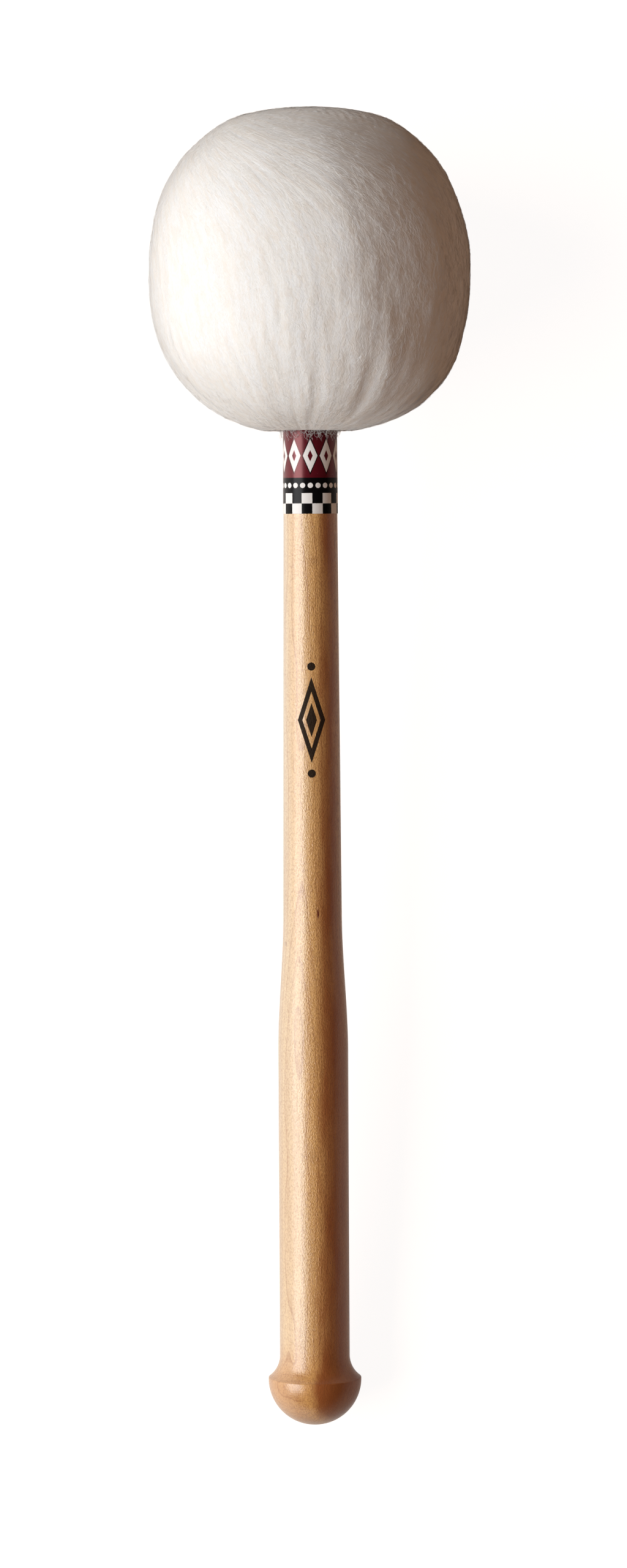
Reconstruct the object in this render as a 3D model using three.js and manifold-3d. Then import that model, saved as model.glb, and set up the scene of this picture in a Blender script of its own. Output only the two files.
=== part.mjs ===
// Bass drum mallet: a turned maple handle with a felt padded, wool covered head.
//
// Every piece is turned about the handle's own axis, with the tip of the pommel at zero and the
// head above it. The finished mallet is then laid down the way it lies on a table, on its pommel
// and on the side of its head, with the head towards +Y. Millimetres, +Z up. The origin is on the
// table, under the middle of the mallet.

import * as THREE from 'three';
import { mergeVertices } from 'three/addons/utils/BufferGeometryUtils.js';
import Module from 'manifold-3d';

const wasm = await Module();
wasm.setup();

// Whole mallet
const overallLength = 408.5;
const clearance = 0.3; // between pieces that are glued, sewn or pressed together
const overrun = 20; // how far a cutting block reaches past what it cuts
const weld = 0.0001; // corners closer than this are one corner
const roundSides = 40; // facets round the handle and the core
const headSides = 48; // facets round the felt and the wool

// Handle, one piece of maple: pommel, cove, grip, taper, shaft and tenon
const pommelRadius = 14.4;
const pommelRimWidth = 0.9; // the straight band round the widest part
const pommelEdgeRadius = 0.35;
const coveRadius = 8.5; // the hollow that runs from the rim into the grip
const gripRadius = 10.97;
const gripTopRadius = 10.82;
const gripLength = 94.5;
const taperLength = 43;
const taperEaseShare = 0.36; // how long the taper takes to leave the grip and to meet the shaft
const shaftRadius = 9.05; // at the top of the taper
const neckRadius = 8.15; // where the shaft enters the head
const tenonRadius = 6.35;
const tenonDepthShare = 0.65; // how far the tenon goes up into the core
const tenonChamfer = 0.8;

// Head: the wool's outline is a superellipse, squarer below than at the crown
const headRadius = 49.4;
const headLength = 100.9; // crown to the lip round the shaft
const crownLength = 52.1; // crown to the widest ring
const crownSquareness = 2.23;
const lowerSquareness = 2.4;
const woolThickness = 12; // backing and pile
const restDent = 0.8; // how far the wool gives where the head lies on the table

// Gathers: the wool's skin is drawn in to the neck and folds as it gets narrower
const gatherCount = 12;
const gatherDepth = 2.2;
const gatherFadeShare = 0.75; // share of the lower half over which the folds run out
const gatherOpening = 11; // how far out from the lip the folds reach their full depth
const gatherWanderShare = 0.3; // how unlike the folds are in depth
const gatherWanderCount = 5;

// Hem and thread, in a recess inside the lip
const hemRadius = 10.2;
const hemRise = 0.6; // from the lip up to the edge of the hem
const lipWidth = 2.4;
const threadRadius = 0.4;
const threadGap = 0.45; // between the turns
const threadTurns = 3;
const threadSides = 6;
const threadStepsPerTurn = 24;

// Core, turned from hardwood, which fills the felt, and the felt round it
const feltThickness = 14.9;
const feltBelow = 12.1; // between the core and the wool at the neck
const feltAbove = 15.7; // between the core and the wool at the crown
const coreEdgeRadius = 3;
const boltHoleRadius = 2.6;
const counterboreRadius = 7.2;
const counterboreDepth = 5;
const feltSeamWidth = 0.6; // where the two ends of the felt strip meet

// Screw and washer that hold the core on the tenon
const screwRadius = 2.1;
const screwLength = 31;
const screwPointLength = 4;
const screwHeadRadius = 4.6;
const screwHeadHeight = 2.6;
const screwCrownHeight = 0.7;
const screwSlotWidth = 1.2;
const screwSlotDepth = 1.2;
const washerRadius = 6.4;
const washerThickness = 1.2;
const screwSides = 20;

// Label, a printed film sleeve shrunk onto the shaft below the head
const labelLength = 24.4;
const labelThickness = 0.15;
const labelClearance = 0.1;

// Finishes
const finishes = {
  maple: { color: 0xdfb98a, roughness: 0.32, metalness: 0 },
  hardwood: { color: 0xc9a271, roughness: 0.7, metalness: 0 },
  wool: { color: 0xf1e9dc, roughness: 1, metalness: 0 },
  felt: { color: 0xd8d3c8, roughness: 1, metalness: 0 },
  thread: { color: 0xe7dfcf, roughness: 0.8, metalness: 0 },
  film: { color: 0x4a101b, roughness: 0.3, metalness: 0 },
  steel: { color: 0xb9bbbd, roughness: 0.35, metalness: 1 },
};

// Levels along the axis, up from the tip of the pommel
const rimTop = pommelRadius + pommelRimWidth;
const lipLevel = overallLength - headLength;
const widestLevel = overallLength - crownLength;
const lowerLength = headLength - crownLength;
const coreBottom = lipLevel + woolThickness + clearance + feltBelow;
const coreTop = overallLength - woolThickness - clearance - feltAbove;
const shoulderLevel = coreBottom - clearance;
const tenonTop = shoulderLevel + tenonDepthShare * (coreTop - coreBottom);
const washerSeat = coreTop - counterboreDepth;
const screwHeadSeat = washerSeat + washerThickness + 2 * clearance;
const screwTip = screwHeadSeat - screwLength;
const hemLevel = lipLevel + hemRise;
const labelTop = lipLevel - clearance;
const labelBottom = labelTop - labelLength;

// Radii of what the handle passes through
const screwBore = screwRadius + clearance;
const neckBore = neckRadius + clearance;
const coreRadius = headRadius - woolThickness - clearance - feltThickness;
const recessRadius = hemRadius + 2 * (threadRadius + clearance);
const lipRadius = recessRadius + lipWidth / 2;
const threadPitch = 2 * threadRadius + threadGap;
const recessTop = hemLevel + threadTurns * threadPitch + 2 * (threadRadius + clearance);

const point = (radius, level) => new THREE.Vector2(radius, level);

// Points of a round stretch of an outline, about a centre, from one angle to another.
function arc(centre, radius, from, to, steps) {
  const curve = new THREE.EllipseCurve(centre.x, centre.y, radius, radius, from, to, to < from);
  return curve.getPoints(steps);
}

// A stretch of a superellipse that bulges from the axis out to its widest ring. The turn is 0 at
// the widest ring and a quarter turn on the axis; the height is negative below the ring.
function bulge(level, radius, height, squareness, from, to, steps) {
  return Array.from({ length: steps + 1 }, (_, i) => {
    const turn = from + ((to - from) * i) / steps;
    const out = Math.max(Math.cos(turn), 0) ** (2 / squareness);
    const up = Math.sin(turn) ** (2 / squareness);
    return point(radius * out, level + height * up);
  });
}

// The turn at which such a bulge has a given radius.
const turnAtRadius = (r, radius, squareness) => Math.acos((r / radius) ** (squareness / 2));

// Closed solids

function solidOf(geometry) {
  const bare = geometry.clone();
  bare.deleteAttribute('normal');
  bare.deleteAttribute('uv');
  const welded = mergeVertices(bare, weld);
  const corners = welded.index.array;
  const triangles = [];
  for (let i = 0; i < corners.length; i += 3) {
    const [a, b, c] = corners.slice(i, i + 3);
    if (a !== b && b !== c && c !== a) triangles.push(a, b, c);
  }
  return new wasm.Manifold(new wasm.Mesh({
    numProp: 3,
    vertProperties: new Float32Array(welded.attributes.position.array),
    triVerts: new Uint32Array(triangles),
  }));
}

function geometryOf(solid) {
  const mesh = solid.getMesh();
  const geometry = new THREE.BufferGeometry();
  geometry.setAttribute('position', new THREE.BufferAttribute(mesh.vertProperties, 3));
  geometry.setIndex(new THREE.BufferAttribute(mesh.triVerts, 1));
  const faceted = geometry.toNonIndexed();
  faceted.computeVertexNormals();
  return faceted;
}

const turned = (outline, sides) => solidOf(new THREE.LatheGeometry(outline, sides));

function meshOf(name, solid, finish) {
  const mesh = new THREE.Mesh(geometryOf(solid), new THREE.MeshStandardMaterial(finishes[finish]));
  mesh.name = name;
  return mesh;
}

// Handle

const coveEdge = pommelRadius - pommelEdgeRadius;
const coveCentreRadius = gripRadius + coveRadius;
const coveTurn = Math.acos((coveCentreRadius - coveEdge) / coveRadius);
const coveTop = rimTop + pommelEdgeRadius + coveRadius * Math.sin(coveTurn);
const gripTop = coveTop + gripLength;
const shaftBottom = gripTop + taperLength;
const taperEase = taperEaseShare * taperLength;

// The shaft narrows evenly from the taper to the head, so its radius follows from the level.
function shaftRadiusAt(level) {
  const share = (level - shaftBottom) / (lipLevel - shaftBottom);
  return shaftRadius + (neckRadius - shaftRadius) * share;
}

function handleOutline() {
  const taper = new THREE.CubicBezierCurve(
    point(gripTopRadius, gripTop),
    point(gripTopRadius, gripTop + taperEase),
    point(shaftRadius, shaftBottom - taperEase),
    point(shaftRadius, shaftBottom),
  );
  const boreBottom = screwTip - clearance;
  return [
    ...arc(point(0, pommelRadius), pommelRadius, -Math.PI / 2, 0, 9),
    ...arc(point(coveEdge, rimTop), pommelEdgeRadius, 0, Math.PI / 2, 2),
    ...arc(point(coveCentreRadius, coveTop), coveRadius, Math.PI + coveTurn, Math.PI, 6),
    ...taper.getPoints(8),
    point(neckRadius, lipLevel),
    point(neckRadius, shoulderLevel),
    point(tenonRadius, shoulderLevel),
    point(tenonRadius, tenonTop - tenonChamfer),
    point(tenonRadius - tenonChamfer, tenonTop),
    point(screwBore, tenonTop),
    point(screwBore, boreBottom),
    point(0, boreBottom),
  ];
}

// Core and its fastening

function coreOutline() {
  const boreRadius = tenonRadius + clearance;
  const edge = coreRadius - coreEdgeRadius;
  return [
    point(boreRadius, coreBottom),
    ...arc(point(edge, coreBottom + coreEdgeRadius), coreEdgeRadius, -Math.PI / 2, 0, 3),
    ...arc(point(edge, coreTop - coreEdgeRadius), coreEdgeRadius, 0, Math.PI / 2, 3),
    point(counterboreRadius, coreTop),
    point(counterboreRadius, washerSeat),
    point(boltHoleRadius, washerSeat),
    point(boltHoleRadius, tenonTop + clearance),
    point(boreRadius, tenonTop + clearance),
    point(boreRadius, coreBottom),
  ];
}

function makeScrew() {
  const headTop = screwHeadSeat + screwHeadHeight;
  const body = turned([
    point(0, screwTip),
    point(screwRadius, screwTip + screwPointLength),
    point(screwRadius, screwHeadSeat),
    point(screwHeadRadius, screwHeadSeat),
    point(screwHeadRadius, headTop - screwCrownHeight),
    point(screwHeadRadius - screwCrownHeight, headTop),
    point(0, headTop),
  ], screwSides);
  const slot = new THREE.BoxGeometry(screwSlotWidth, 2 * screwSlotDepth, 2 * screwHeadRadius + overrun);
  slot.translate(0, headTop, 0);
  return body.subtract(solidOf(slot));
}

function washerOutline() {
  const bottom = washerSeat + clearance;
  return [
    point(boltHoleRadius, bottom),
    point(washerRadius, bottom),
    point(washerRadius, bottom + washerThickness),
    point(boltHoleRadius, bottom + washerThickness),
    point(boltHoleRadius, bottom),
  ];
}

// Felt: a thick strip wound round the core, closed in under it, and a domed disc on top

const cavityRadius = headRadius - woolThickness;
const cavityCrown = crownLength - woolThickness;
const cavityLower = lowerLength - woolThickness;
const feltRadius = cavityRadius - clearance;
const feltCrown = cavityCrown - clearance;
const feltLower = cavityLower - clearance;
const cavitySteps = 5;
const cavityNeckTurn = turnAtRadius(neckBore, cavityRadius, lowerSquareness);

// The felt as a whole, before it is parted at the top of the core.
function wholeFelt() {
  return turned([
    point(0, widestLevel - feltLower),
    ...bulge(widestLevel, feltRadius, -feltLower, lowerSquareness, cavityNeckTurn, 0, cavitySteps),
    ...bulge(widestLevel, feltRadius, feltCrown, crownSquareness, 0, Math.PI / 2, cavitySteps).slice(1),
  ], headSides);
}

// A block that is wider than the head, between two levels.
function slab(bottom, top) {
  const side = 2 * headRadius + overrun;
  const block = new THREE.BoxGeometry(side, top - bottom, side);
  block.translate(0, (bottom + top) / 2, 0);
  return solidOf(block);
}

function makeFeltWrap() {
  const inside = coreRadius + clearance;
  const room = turned([
    point(0, lipLevel - overrun),
    point(neckBore, lipLevel - overrun),
    point(neckBore, coreBottom - clearance),
    point(inside, coreBottom - clearance),
    point(inside, coreTop + overrun),
    point(0, coreTop + overrun),
  ], headSides);
  const seam = new THREE.BoxGeometry(feltSeamWidth, headLength + overrun, headRadius);
  seam.translate(0, widestLevel, -headRadius / 2);
  const above = slab(coreTop, overallLength + overrun);
  return wholeFelt().subtract(above).subtract(room).subtract(solidOf(seam));
}

function makeFeltCrown() {
  return wholeFelt().subtract(slab(lipLevel - overrun, coreTop + clearance));
}

// Wool cover: one skin drawn over the felt, gathered at the neck, open where the shaft goes in

function woolOutside() {
  const lipTurn = turnAtRadius(recessRadius + lipWidth, headRadius, lowerSquareness);
  return [
    point(recessRadius, lipLevel + hemRise),
    point(lipRadius, lipLevel),
    ...bulge(widestLevel, headRadius, -lowerLength, lowerSquareness, lipTurn, 0, 9),
    ...bulge(widestLevel, headRadius, crownLength, crownSquareness, 0, Math.PI / 2, 7).slice(1),
  ];
}

function woolInside() {
  const lower = bulge(widestLevel, cavityRadius, -cavityLower, lowerSquareness, 0, cavityNeckTurn, cavitySteps);
  return [
    ...bulge(widestLevel, cavityRadius, cavityCrown, crownSquareness, Math.PI / 2, 0, cavitySteps),
    ...lower.slice(1),
    point(neckBore, hemLevel),
    point(hemRadius, hemLevel),
    point(hemRadius, recessTop),
    point(recessRadius, recessTop),
  ];
}

// How deep the gathers are: nothing at the lip, where the thread draws them tight, most just
// outside it, and running out towards the widest ring.
function gatherAt(place, direction) {
  const { smoothstep } = THREE.MathUtils;
  const down = (widestLevel - place.y) / lowerLength;
  const fade = smoothstep(down, 1 - gatherFadeShare, 1);
  const opening = smoothstep(place.x, lipRadius, lipRadius + gatherOpening);
  const wander = 1 - gatherWanderShare * Math.sin(gatherWanderCount * direction);
  const fold = 0.5 - 0.5 * Math.cos(gatherCount * direction);
  return gatherDepth * fade * opening * wander * fold;
}

function makeWool(tilt, tableLevel) {
  const inside = woolInside();
  const outside = woolOutside();
  const outline = [...inside, ...outside];
  const geometry = new THREE.LatheGeometry(outline, headSides);
  const corners = geometry.attributes.position;
  for (let i = 0; i < corners.count; i += 1) {
    const ring = i % outline.length;
    if (ring < inside.length + 2 || ring === outline.length - 1) continue;
    const direction = (Math.floor(i / outline.length) * 2 * Math.PI) / headSides;
    const along = outline[ring + 1].clone().sub(outline[ring - 1]).normalize();
    const depth = gatherAt(outline[ring], direction);
    const radius = outline[ring].x - depth * along.y;
    const level = outline[ring].y + depth * along.x;
    corners.setXYZ(i, radius * Math.sin(direction), level, radius * Math.cos(direction));
  }
  return solidOf(geometry).subtract(solidOf(tableBlock(tilt, tableLevel)));
}

// Everything under the table top, seen from the upright mallet.
function tableBlock(tilt, tableLevel) {
  const side = overallLength + overrun;
  const block = new THREE.BoxGeometry(side, 3 * side, side);
  block.translate(0, 0, tableLevel - side / 2);
  block.rotateX(-tilt);
  return block;
}

// Neck thread: one length wound round the hem and drawn tight

class ThreadPath extends THREE.Curve {
  getPoint(share, target = new THREE.Vector3()) {
    const turn = share * threadTurns * 2 * Math.PI;
    const radius = hemRadius + clearance + threadRadius;
    const start = hemLevel + clearance + threadRadius;
    const level = start + share * threadTurns * threadPitch;
    return target.set(radius * Math.sin(turn), level, radius * Math.cos(turn));
  }
}

function makeThread() {
  const section = new THREE.Shape(arc(point(0, 0), threadRadius, 0, 2 * Math.PI, threadSides).slice(1));
  return solidOf(new THREE.ExtrudeGeometry(section, {
    steps: threadTurns * threadStepsPerTurn,
    extrudePath: new ThreadPath(),
    bevelEnabled: false,
  }));
}

// The narrowest place between one turn of the thread and the next.
function leastThreadGap() {
  const places = new ThreadPath().getPoints(threadTurns * threadStepsPerTurn);
  let least = Infinity;
  places.forEach((a, i) => places.slice(i + threadStepsPerTurn / 2).forEach((b) => {
    least = Math.min(least, a.distanceTo(b));
  }));
  return least - 2 * threadRadius;
}

// Label

function labelOutline() {
  const inside = (level) => shaftRadiusAt(level) + labelClearance;
  const outside = (level) => inside(level) + labelThickness;
  return [
    point(inside(labelBottom), labelBottom),
    point(outside(labelBottom), labelBottom),
    point(outside(labelTop), labelTop),
    point(inside(labelTop), labelTop),
    point(inside(labelBottom), labelBottom),
  ];
}

// How the mallet lies: its axis tips up until the pommel and the dented head both touch the table.

function lowestOf(outline, tilt) {
  const heights = outline.map((p) => p.y * Math.sin(tilt) - p.x * Math.cos(tilt));
  return Math.min(...heights);
}

function tiltOnTable() {
  const handle = handleOutline();
  const head = woolOutside();
  let low = 0;
  let high = Math.PI / 4;
  for (let i = 0; i < 50; i += 1) {
    const tilt = (low + high) / 2;
    const headIsLower = lowestOf(head, tilt) + restDent < lowestOf(handle, tilt);
    if (headIsLower) low = tilt;
    else high = tilt;
  }
  return (low + high) / 2;
}

const tilt = tiltOnTable();
const tableLevel = lowestOf(handleOutline(), tilt);

const mallet = new THREE.Group();
mallet.add(
  meshOf('handle', turned(handleOutline(), roundSides), 'maple'),
  meshOf('core', turned(coreOutline(), roundSides), 'hardwood'),
  meshOf('core_screw', makeScrew(), 'steel'),
  meshOf('screw_washer', turned(washerOutline(), screwSides), 'steel'),
  meshOf('felt_wrap', makeFeltWrap(), 'felt'),
  meshOf('felt_crown', makeFeltCrown(), 'felt'),
  meshOf('wool_cover', makeWool(tilt, tableLevel), 'wool'),
  meshOf('neck_thread', makeThread(), 'thread'),
  meshOf('label_sleeve', turned(labelOutline(), roundSides), 'film'),
);
mallet.rotation.x = tilt;
mallet.position.z = -tableLevel;

// The origin goes under the middle of the mallet.
const laid = new THREE.Group();
laid.add(mallet);
laid.updateMatrixWorld(true);
const middle = new THREE.Box3().setFromObject(laid, true).getCenter(new THREE.Vector3());
mallet.position.x -= middle.x;
mallet.position.y -= middle.y;

console.log(`tilt on the table ${THREE.MathUtils.radToDeg(tilt).toFixed(3)} degrees`);
console.log(`least gap between turns of the neck thread ${leastThreadGap().toFixed(3)} mm`);

export default laid;
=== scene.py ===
# %% [markdown]
# # A bass drum mallet
#
# The mallet has a turned maple handle with a round pommel, and a large soft head covered in
# brushed wool. It lies on a white table and is seen from above. This lesson dresses it piece by
# piece: first the place where it lies, then its finishes, then the handle, the label, the
# wool and its fibres, and at the end the table, the lamps and the camera.

# %% Start
import math

import bmesh
import bpy
import numpy as np
from mathutils import Matrix, Vector, noise
from mathutils.bvhtree import BVHTree


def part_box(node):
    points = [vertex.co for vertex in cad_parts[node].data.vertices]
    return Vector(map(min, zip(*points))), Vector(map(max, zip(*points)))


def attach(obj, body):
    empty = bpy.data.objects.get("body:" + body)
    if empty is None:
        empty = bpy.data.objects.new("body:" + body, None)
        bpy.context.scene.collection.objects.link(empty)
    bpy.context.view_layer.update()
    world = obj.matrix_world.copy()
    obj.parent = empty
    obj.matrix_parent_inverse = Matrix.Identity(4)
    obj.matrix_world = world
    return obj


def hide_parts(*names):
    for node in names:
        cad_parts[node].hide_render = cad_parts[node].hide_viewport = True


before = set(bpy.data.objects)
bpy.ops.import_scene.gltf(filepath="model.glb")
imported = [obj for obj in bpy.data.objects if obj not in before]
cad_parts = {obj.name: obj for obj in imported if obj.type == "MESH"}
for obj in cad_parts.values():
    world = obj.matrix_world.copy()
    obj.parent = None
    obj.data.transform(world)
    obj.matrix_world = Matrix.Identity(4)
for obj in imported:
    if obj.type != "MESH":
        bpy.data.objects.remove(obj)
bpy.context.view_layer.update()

MM = 0.001

# %% [markdown]
# ## How the mallet lies
#
# The head is far thicker than the handle, so the mallet's axis tips up towards the head. We could
# type the angle in, but two hidden pieces are turned about the axis too: the core and the washer
# under its screw. The line through their middles is the axis, so the place is read from them.
# Every piece is then made upright, on the Z axis with the tip of the pommel at zero and the side
# that faces the camera towards -Y, and one matrix lays it down.

# %% The axis
CORE_LEVEL = 356.25 * MM


def middle(node):
    low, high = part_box(node)
    return (low + high) / 2


along = (middle("screw_washer") - middle("core")).normalized()
foot = middle("core") - along * CORE_LEVEL
sideways = Vector((1, 0, 0))
laid = Matrix((sideways, along.cross(sideways), along)).transposed().to_4x4()
laid.translation = foot
upright = laid.inverted()
print("the axis rises", round(math.degrees(math.asin(along.z)), 2), "degrees")

# %% [markdown]
# ## Spinning and laying down
#
# A mallet is lathe work, so most pieces are an outline of (radius, level) pairs that is spun round
# the axis. Spin leaves a seam and, on the axis, a stack of points, so doubles are merged and the
# faces turned outwards. Spin's own order changes from run to run, so points and faces are sorted
# by place along a skew direction. A second helper lays a finished mesh down, and a third gives it its
# material and fastens it to the mallet's one body.

# %% Spin and lay down
SEAM = 0.0005 * MM
ORDER = Vector((1, 19.7, 913.1))


def spun(outline, steps):
    bm = bmesh.new()
    points = [bm.verts.new((radius, 0, level)) for radius, level in outline]
    lines = [bm.edges.new(pair) for pair in zip(points, points[1:])]
    bmesh.ops.spin(
        bm, geom=points + lines, axis=(0, 0, 1), cent=(0, 0, 0),
        angle=math.tau, steps=steps, use_merge=True,
    )
    bmesh.ops.remove_doubles(bm, verts=bm.verts, dist=SEAM)
    bmesh.ops.recalc_face_normals(bm, faces=bm.faces)
    bm.verts.sort(key=lambda vert: vert.co.dot(ORDER))
    bm.faces.sort(key=lambda face: face.calc_center_median().dot(ORDER))
    return bm


def finished(name, bm):
    mesh = bpy.data.meshes.new(name)
    bm.to_mesh(mesh)
    bm.free()
    return mesh


def lay_down(name, bm, material, sharp=40):
    bmesh.ops.transform(bm, matrix=laid, verts=bm.verts)
    mesh = finished(name, bm)
    mesh.shade_smooth()
    mesh.set_sharp_from_angle(angle=math.radians(sharp))
    return fasten(name, mesh, material)


def shown(name, data):
    piece = bpy.data.objects.new(name, data)
    bpy.context.collection.objects.link(piece)
    return piece


def fasten(name, mesh, material):
    piece = shown(name, mesh)
    mesh.materials.append(material)
    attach(piece, "root")
    print(piece.name, "has", len(mesh.polygons), "faces")
    return piece


# %% [markdown]
# ## Curves for outlines
#
# Round stretches of an outline come from an arc, and the wool's outline is a superellipse: a
# circle that has been pushed a little towards a square. The turn is zero at the widest ring and a
# quarter turn on the axis.

# %% Arcs and bulges
def arc(radius, level, bend, start, end, steps):
    turns = [math.radians(start + (end - start) * i / steps) for i in range(steps + 1)]
    return [(radius + bend * math.cos(t), level + bend * math.sin(t)) for t in turns]


def bulge(level, radius, height, squareness, start, end, steps):
    turns = np.linspace(start, end, steps + 1)
    out = np.clip(np.cos(turns), 0, 1) ** (2 / squareness)
    up = np.clip(np.sin(turns), 0, 1) ** (2 / squareness)
    return list(zip(radius * out, level + height * up))


def smooth(value, low, high):
    share = np.clip((value - low) / (high - low), 0, 1)
    return share * share * (3 - 2 * share)


# %% [markdown]
# ## Building finishes
#
# Each finish is a small graph of shader nodes. A few words make the graphs short: one adds a
# node and sets its sockets, and others do arithmetic, blend colours or make noise. Patterns are
# laid out in the upright mallet's own directions, so the grain runs along the handle although the
# handle is tipped: a Mapping node undoes the laying down.

# %% Node words
class Graph:
    def __init__(self, tree):
        self.tree = tree

    def add(self, kind, sockets=None, **settings):
        node = self.tree.nodes.new("ShaderNode" + kind)
        for name, value in settings.items():
            setattr(node, name, value)
        for name, value in (sockets or {}).items():
            self.feed(node.inputs[name], value)
        return node

    def feed(self, socket, value):
        if isinstance(value, bpy.types.NodeSocket):
            self.tree.links.new(value, socket)
        else:
            socket.default_value = value

    def math(self, operation, *values):
        return self.add("Math", dict(enumerate(values)), operation=operation).outputs[0]

    def times(self, first, *others):
        for other in others:
            first = self.math("MULTIPLY", first, other)
        return first

    def distance(self, across, up):
        squares = [self.math("POWER", way, 2.0) for way in (across, up)]
        return self.math("SQRT", self.math("ADD", *squares))

    def vector(self, operation, a, b=(0, 0, 0)):
        return self.add("VectorMath", {0: a, 1: b}, operation=operation).outputs

    def apart(self, place):
        return self.add("SeparateXYZ", {0: place}).outputs

    def blend(self, factor, a, b):
        return self.add("Mix", {0: factor, 6: a, 7: b}, data_type="RGBA").outputs[2]

    def between(self, factor, a, b):
        return self.add("Mix", {0: factor, 4: a, 5: b}, data_type="VECTOR").outputs[1]

    def ramp(self, value, low, high):
        ends = {"Value": value, "From Min": low, "From Max": high}
        return self.add("MapRange", ends, interpolation_type="SMOOTHSTEP").outputs[0]

    def mapped(self, value, low, high, at_low, at_high):
        ends = {"From Min": low, "From Max": high, "To Min": at_low, "To Max": at_high}
        return self.add("MapRange", {"Value": value, **ends}).outputs[0]

    def noise(self, place, scale, detail=3.0, roughness=0.55):
        """Noise that has a scale of its own in each of the three directions."""
        look = {"Scale": 1.0, "Detail": detail, "Roughness": roughness}
        scaled = self.vector("MULTIPLY", place, scale)[0]
        return self.add("TexNoise", {"Vector": scaled, **look}).outputs["Fac"]

    def bump(self, height, distance, strength=1.0):
        relief = {"Height": height, "Distance": distance, "Strength": strength}
        return self.add("Bump", relief).outputs["Normal"]


class Finish(Graph):
    def __init__(self, name):
        self.material = bpy.data.materials.new(name)
        self.material.use_nodes = True
        super().__init__(self.material.node_tree)
        self.shader = self.tree.nodes["Principled BSDF"]

    def place(self):
        """A point of the surface, in the upright mallet's directions."""
        where = self.add("TexCoord").outputs["Object"]
        undo = {"Location": upright.to_translation(), "Rotation": upright.to_euler()}
        return self.add("Mapping", {"Vector": where, **undo}).outputs[0]

    def set(self, **sockets):
        names = {"colour": "Base Color", "specular": "Specular IOR Level", "coat_ior": "Coat IOR"}
        for name, value in sockets.items():
            socket = names.get(name, name.replace("_", " ").title())
            self.feed(self.shader.inputs[socket], value)
        return self.material


WHITE = (1, 1, 1, 1)

# %% [markdown]
# ## Maple
#
# Maple is pale and close grained. Its pattern is cut from a tree, so the growth rings are made as
# rings about a distant centre line and the turned handle slices through them: they show as long
# lines on the shaft and as loops where the taper cuts across. Fine vessels are noise that is
# stretched about ten times along the grain. The left side, where the soft box falls, is painted
# paler, more so towards the head: a painted highlight. The front right, which lies in shade, gets
# painted shade: an amber band where the light gives out and a dark red band beyond it, darker
# still on the pommel. The pommel, where the grain ends, is darker and shines a little less.
# Short ray flecks and a few dark mineral marks finish it. The lacquer is the shader's own gloss
# with a smooth coat over it.

# %% Maple finish
HEART = (27 * MM, 48 * MM, 0)
RING_SPACING = 1.7 * MM
RING_WAVE = 9 * MM
PATTERNS = {
    # the scales sideways, forwards and along the handle, then the detail and the roughness
    "wave": ((60, 60, 11), 2.0, 0.55),
    "board": ((110, 110, 9), 2.0, 0.55),
    "streaks": ((620, 620, 26), 3.0, 0.55),
    "vessels": ((1900, 1900, 170), 3.0, 0.6),
    "pores": ((2400, 2400, 1500), 2.0, 0.6),
    "patches": ((200, 200, 42), 3.0, 0.55),
    "flecks": ((2100, 2100, 560), 1.0, 0.4),
}
DARK_LINES = [
    # a pattern, the values of it where the dark begins and is full, and how dark it gets
    ("rings", 0.5, 1.0, 0.1),
    ("rings", 0.86, 0.98, 0.32),
    ("streaks", 0.42, 0.7, 0.14),
    ("vessels", 0.5, 0.75, 0.2),
    ("pores", 0.42, 0.68, 0.4),
]
MINERAL_MARKS = [
    # sideways, level, half width, half length in millimetres, and how dark
    (1.7, 160.3, 0.27, 1.4, 1.0),
    (-8.3, 150.7, 0.35, 0.8, 0.35),
    (0.9, 268.6, 1.6, 1.3, 0.14),
    (-0.4, 85.5, 1.3, 2.2, 0.16),
]
MAPLE_PALE = (0.82, 0.54, 0.26, 1)
MAPLE_DEEP = (0.76, 0.46, 0.19, 1)
# Painted shade: the dark red of the handle's shaded front right, and the amber at the edge of the
# light.
SHADE_RED = (0.39, 0.108, 0.028, 1)
SHADE_EDGE_AMBER = (0.84, 0.44, 0.14, 1)
MAPLE_LINE = (0.32, 0.1, 0.028, 1)
MAPLE_END = (0.62, 0.28, 0.08, 1)
# Painted highlight: the handle's left side, where the soft box falls, is painted paler, more so
# towards the head.
LIT_SIDE_PALE = (0.77, 0.63, 0.43, 1)
LIT_SIDE_FROM = (-4 * MM, -8 * MM)
LIT_SIDE_GROWS = (20 * MM, 220 * MM)
LIT_SIDE_SHARE = 0.45
LIT_SIDE_GROWTH = 0.45
END_GRAIN_LEVELS = (30 * MM, 14 * MM)
END_SHARE = 0.7
END_SMOOTHER = 0.5
END_DULLER = 0.25
# Painted shade: the front right of the handle, which lies in shade, is darkened and reddened, with an
# amber band where the light gives out.
SHADE_WAY = (0.87, -0.5, 0)
SHADE_RAGGED = 4 * MM
SHADE_FADES = (-1 * MM, -6.5 * MM)
SHADE_EDGE_REACH = (1.5 * MM, 5.5 * MM)
SHADE_EDGE_SHARE = 0.7
SHADE_REACH = (5.0 * MM, 9.0 * MM)
SHADE_SHARE = 0.95
SHADE_LEAST = 0.7
# Painted shade: how much darker the pommel's shaded side gets.
POMMEL_SHADE_SHARE = 0.35
MINERAL = (0.13, 0.012, 0.005, 1)
MARK_RAGGED = 0.8
MARK_EDGE = (1.9, 0.8)
VESSEL_DEPTH = 0.35
GRAIN_DEPTH = 0.22 * MM
LACQUER_DEPTH = 0.05 * MM
LACQUER_GLOSS = 0.75
LACQUER_COAT = 0.85


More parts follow.
